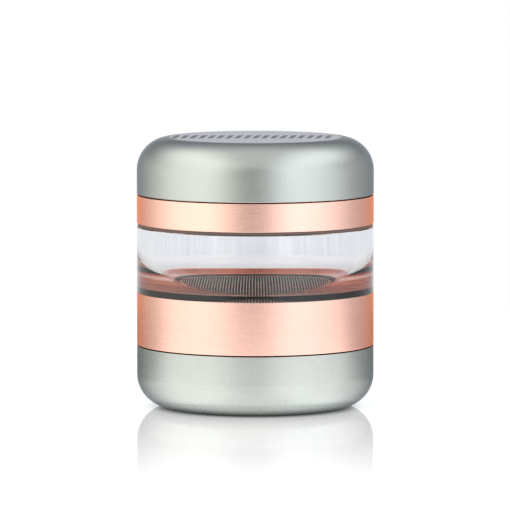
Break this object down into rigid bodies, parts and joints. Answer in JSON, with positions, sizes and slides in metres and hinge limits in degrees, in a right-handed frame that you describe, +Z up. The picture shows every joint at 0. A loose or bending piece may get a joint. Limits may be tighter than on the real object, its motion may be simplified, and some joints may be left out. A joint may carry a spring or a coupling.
{
  "type": "herb grinder with glass storage chamber",
  "caption": "Round hand grinder: domed toothed lid on a toothed plate, over a clear glass chamber with a woven screen floor and a screw-on powder cup.",
  "frame": {"origin": "centre of the flat foot of the base cup, on the surface that the grinder stands on", "axes": "+Z up along the common axis of every turned piece; +X and +Y lie in the foot's plane"},
  "size_m": [0.063, 0.063, 0.0718],
  "materials": {
    "silver_anodised": "satin anodised aluminium with fine turning lines, pale green-grey",
    "copper_anodised": "satin anodised aluminium, rose copper",
    "clear_glass": "thick clear moulded glass",
    "screen_wire": "plain-woven stainless wire",
    "magnet_nickel": "nickel plate",
    "steel": "brushed",
    "black_rubber": "matt",
    "white_plastic": "smooth low-friction plastic"
  },
  "bodies": {
    "base": {"base_cup": "silver_anodised"},
    "base_seal": {"base_o_ring": "black_rubber"},
    "jar": {"chamber_base": "copper_anodised", "kief_screen": "screen_wire", "screen_gasket": "black_rubber", "screen_retaining_ring": "copper_anodised", "glass_gasket": "black_rubber", "glass_chamber": "clear_glass"},
    "neck_ring": {"neck_seal": "black_rubber"},
    "plate": {"grinding_plate": "copper_anodised", "plate_magnet": "magnet_nickel", "plate_magnet_cap": "steel"},
    "glide": {"glide_ring": "white_plastic"},
    "lid": {"lid_shell": "silver_anodised", "lid_magnet": "magnet_nickel", "lid_magnet_cap": "steel"}
  },
  "joints": [
    {"name": "jar_rise", "type": "slide", "parent": "base", "child": "base_seal", "axis": [0, 0, 1], "range_m": [0, 0.00301]},
    {"name": "jar_unscrew", "type": "hinge", "parent": "base_seal", "child": "jar", "pos_m": [0, 0, 0.0167], "axis": [0, 0, 1], "range_deg": [0, 540]},
    {"name": "plate_rise", "type": "slide", "parent": "jar", "child": "neck_ring", "axis": [0, 0, 1], "range_m": [0, 0.00301]},
    {"name": "plate_unscrew", "type": "hinge", "parent": "neck_ring", "child": "plate", "pos_m": [0, 0, 0.049], "axis": [0, 0, 1], "range_deg": [0, 540]},
    {"name": "lid_lift", "type": "slide", "parent": "plate", "child": "glide", "axis": [0, 0, 1], "range_m": [0, 0.03]},
    {"name": "lid_spin", "type": "hinge", "parent": "glide", "child": "lid", "pos_m": [0, 0, 0.0568], "axis": [0, 0, 1], "continuous": true}
  ],
  "couplings": [
    {"joint": "jar_rise", "follows": "jar_unscrew", "m_per_rad": 0.00031831},
    {"joint": "plate_rise", "follows": "plate_unscrew", "m_per_rad": 0.00031831}
  ]
}
